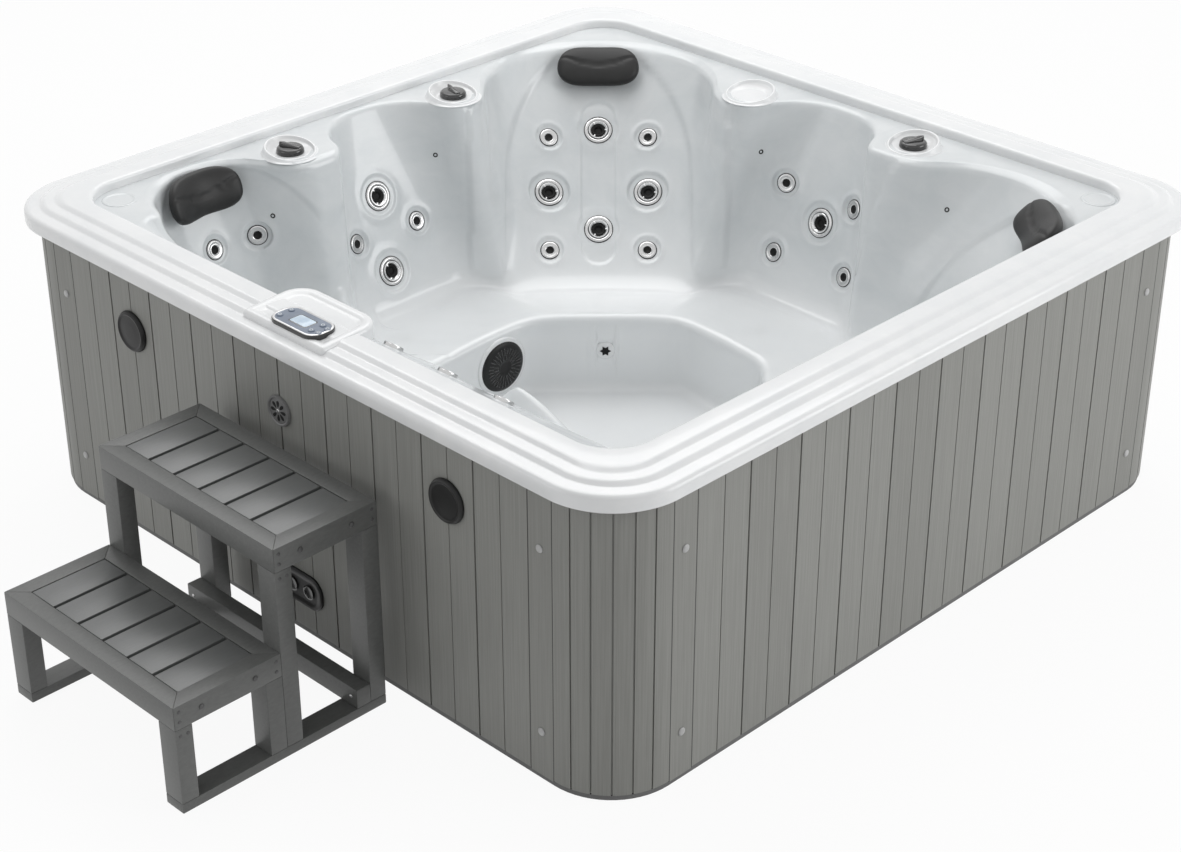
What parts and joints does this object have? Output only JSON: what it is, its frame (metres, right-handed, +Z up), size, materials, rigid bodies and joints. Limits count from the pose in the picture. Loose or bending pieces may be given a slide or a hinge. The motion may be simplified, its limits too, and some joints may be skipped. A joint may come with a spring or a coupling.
{
  "type": "hot tub",
  "caption": "Square hot tub with a moulded white shell, scooped seats, turning massage jets, soft head pillows, a boarded grey cabinet and separate entry steps.",
  "frame": {"origin": "on the floor under the middle of the tub", "axes": "+Z up, -Y to the front with the control panel and the steps, +X to the right seen from the front"},
  "size_m": [2.2, 2.799, 0.819],
  "materials": {
    "acrylic": "glossy white with faint grey marbling",
    "board": "satin mid grey with a fine wood grain",
    "screw": "satin grey",
    "fitting_black": "satin black",
    "vent": "satin chrome",
    "jet_ring": "polished",
    "jet_face": "glossy black",
    "knob": "glossy black",
    "stem": "light grey",
    "panel": "satin blue grey",
    "display": "pale screen",
    "button": "pale grey",
    "pillow": "matte black, soft",
    "frame_wood": "sawn",
    "pan": "matte black",
    "pump": "matte black",
    "motor": "painted",
    "pipe": "white pipe",
    "box": "grey paint",
    "heater": "brushed",
    "step": "satin dark grey",
    "step_bolt": "dark grey"
  },
  "bodies": {
    "tub": {"acrylic_shell": "acrylic", "front_panel": "board", "right_panel": "board", "rear_panel": "board", "left_panel": "board", "corner_cover_rear_right": "board", "corner_cover_rear_left": "board", "corner_cover_front_left": "board", "corner_cover_front_right": "board", "panel_strips": "board", "strip_screws": "screw", "speaker_left": "fitting_black", "speaker_right": "fitting_black", "outlet_plate": "fitting_black", "suction_cover": "fitting_black", "cabinet_vent": "vent", "large_jet_bodies": "jet_ring", "small_jets": "jet_ring", "air_nozzles": "jet_ring", "diverter_stems": "stem", "control_panel": "panel", "panel_display": "display", "pillow_far": "pillow", "pillow_left": "pillow", "pillow_right": "pillow", "frame_posts": "frame_wood", "bottom_rails": "frame_wood", "top_rails": "frame_wood", "footwell_cradle": "frame_wood", "base_pan": "pan", "pump_wet_ends": "pump", "air_blower": "pump", "pump_motors": "motor", "suction_pipe": "pipe", "jet_manifold": "pipe", "control_box": "box", "heater_tube": "heater"},
    "jet_face_1": {"large_jet_face_1": "jet_face"},
    "jet_face_2": {"large_jet_face_2": "jet_face"},
    "jet_face_3": {"large_jet_face_3": "jet_face"},
    "jet_face_4": {"large_jet_face_4": "jet_face"},
    "jet_face_5": {"large_jet_face_5": "jet_face"},
    "jet_face_6": {"large_jet_face_6": "jet_face"},
    "jet_face_7": {"large_jet_face_7": "jet_face"},
    "knob_1": {"diverter_knob_1": "knob"},
    "knob_2": {"diverter_knob_2": "knob"},
    "knob_3": {"diverter_knob_3": "knob"},
    "button_1": {"panel_button_1": "button"},
    "button_2": {"panel_button_2": "button"},
    "button_3": {"panel_button_3": "button"},
    "button_4": {"panel_button_4": "button"},
    "button_5": {"panel_button_5": "button"},
    "button_6": {"panel_button_6": "button"},
    "entry_steps": {"low_tread_frame": "step", "high_tread_frame": "step", "tread_slats": "step", "step_legs": "step", "step_base_rails": "step", "step_bolts": "step_bolt", "step_cross_rail": "step"}
  },
  "joints": [
    {"name": "jet_1_turn", "type": "hinge", "parent": "tub", "child": "jet_face_1", "pos_m": [-0.69523, 0.67402, 0.586], "axis": [0.4877, -0.4877, 0.724], "range_deg": [0, 90]},
    {"name": "jet_2_turn", "type": "hinge", "parent": "tub", "child": "jet_face_2", "pos_m": [-0.69443, 0.46957, 0.451], "axis": [0.5877, -0.4012, 0.7026], "range_deg": [0, 90]},
    {"name": "jet_3_turn", "type": "hinge", "parent": "tub", "child": "jet_face_3", "pos_m": [-0.49079, 0.67322, 0.451], "axis": [0.4012, -0.5877, 0.7026], "range_deg": [0, 90]},
    {"name": "jet_4_turn", "type": "hinge", "parent": "tub", "child": "jet_face_4", "pos_m": [-0.5349, 0.51369, 0.37], "axis": [0.4877, -0.4877, 0.724], "range_deg": [0, 90]},
    {"name": "jet_5_turn", "type": "hinge", "parent": "tub", "child": "jet_face_5", "pos_m": [-0.84012, -0.054, 0.556], "axis": [0.9298, 0, 0.3681], "range_deg": [0, 90]},
    {"name": "jet_6_turn", "type": "hinge", "parent": "tub", "child": "jet_face_6", "pos_m": [-0.76251, -0.081, 0.36], "axis": [0.9298, 0, 0.3681], "range_deg": [0, 90]},
    {"name": "jet_7_turn", "type": "hinge", "parent": "tub", "child": "jet_face_7", "pos_m": [0.05, 0.80413, 0.482], "axis": [0, -0.9384, 0.3456], "range_deg": [0, 90]},
    {"name": "knob_1_turn", "type": "hinge", "parent": "tub", "child": "knob_1", "pos_m": [-0.824, -0.362, 0.783], "axis": [0, 0, 1], "range_deg": [-90, 90]},
    {"name": "knob_2_turn", "type": "hinge", "parent": "tub", "child": "knob_2", "pos_m": [-0.819, 0.218, 0.783], "axis": [0, 0, 1], "range_deg": [-90, 90]},
    {"name": "knob_3_turn", "type": "hinge", "parent": "tub", "child": "knob_3", "pos_m": [0.327, 0.837, 0.783], "axis": [0, 0, 1], "range_deg": [-90, 90]},
    {"name": "button_1_press", "type": "slide", "parent": "tub", "child": "button_1", "axis": [0, 0, -1], "range_m": [0, 0.0012], "stiffness_N_per_m": 300},
    {"name": "button_2_press", "type": "slide", "parent": "tub", "child": "button_2", "axis": [0, 0, -1], "range_m": [0, 0.0012], "stiffness_N_per_m": 300},
    {"name": "button_3_press", "type": "slide", "parent": "tub", "child": "button_3", "axis": [0, 0, -1], "range_m": [0, 0.0012], "stiffness_N_per_m": 300},
    {"name": "button_4_press", "type": "slide", "parent": "tub", "child": "button_4", "axis": [0, 0, -1], "range_m": [0, 0.0012], "stiffness_N_per_m": 300},
    {"name": "button_5_press", "type": "slide", "parent": "tub", "child": "button_5", "axis": [0, 0, -1], "range_m": [0, 0.0012], "stiffness_N_per_m": 300},
    {"name": "button_6_press", "type": "slide", "parent": "tub", "child": "button_6", "axis": [0, 0, -1], "range_m": [0, 0.0012], "stiffness_N_per_m": 300},
    {"name": "steps_pull_out", "type": "slide", "parent": "tub", "child": "entry_steps", "axis": [0, -1, 0], "range_m": [0, 0.5]}
  ]
}
